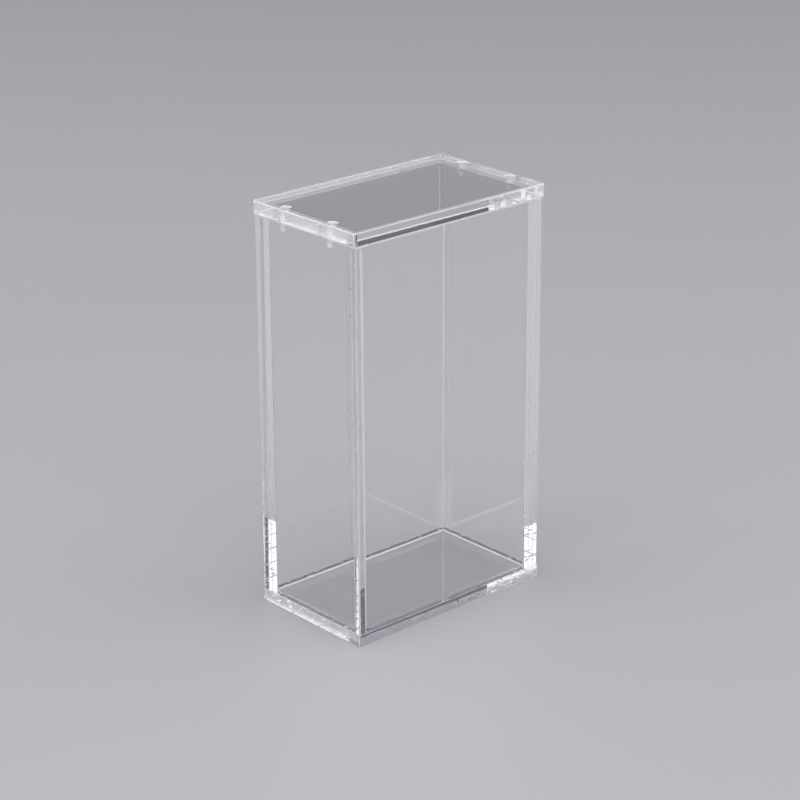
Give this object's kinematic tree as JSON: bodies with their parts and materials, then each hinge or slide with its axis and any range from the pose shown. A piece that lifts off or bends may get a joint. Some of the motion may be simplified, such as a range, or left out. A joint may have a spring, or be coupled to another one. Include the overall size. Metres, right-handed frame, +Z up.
{
  "type": "card deck box",
  "caption": "Upright clear acrylic card deck box: thick cemented walls on a base plate, and a flat lift-off lid kept square by headed pins that drop into holes in the end walls.",
  "frame": {"origin": "middle of the base plate's underside", "axes": "+Z up, along the box's height; X along the long side; Y along the short side, with the front wall towards -Y"},
  "size_m": [0.09, 0.055, 0.155],
  "materials": {
    "clear_panel": "polished",
    "clear_pin": "polished"
  },
  "bodies": {
    "box": {"base_plate": "clear_panel", "front_wall": "clear_panel", "back_wall": "clear_panel", "left_end_wall": "clear_panel", "right_end_wall": "clear_panel"},
    "lid": {"lid_plate": "clear_panel", "pin_left_front": "clear_pin", "pin_left_back": "clear_pin", "pin_right_front": "clear_pin", "pin_right_back": "clear_pin"}
  },
  "joints": [
    {"name": "lid_lift", "type": "slide", "parent": "box", "child": "lid", "axis": [0, 0, 1], "range_m": [0, 0.09]}
  ]
}
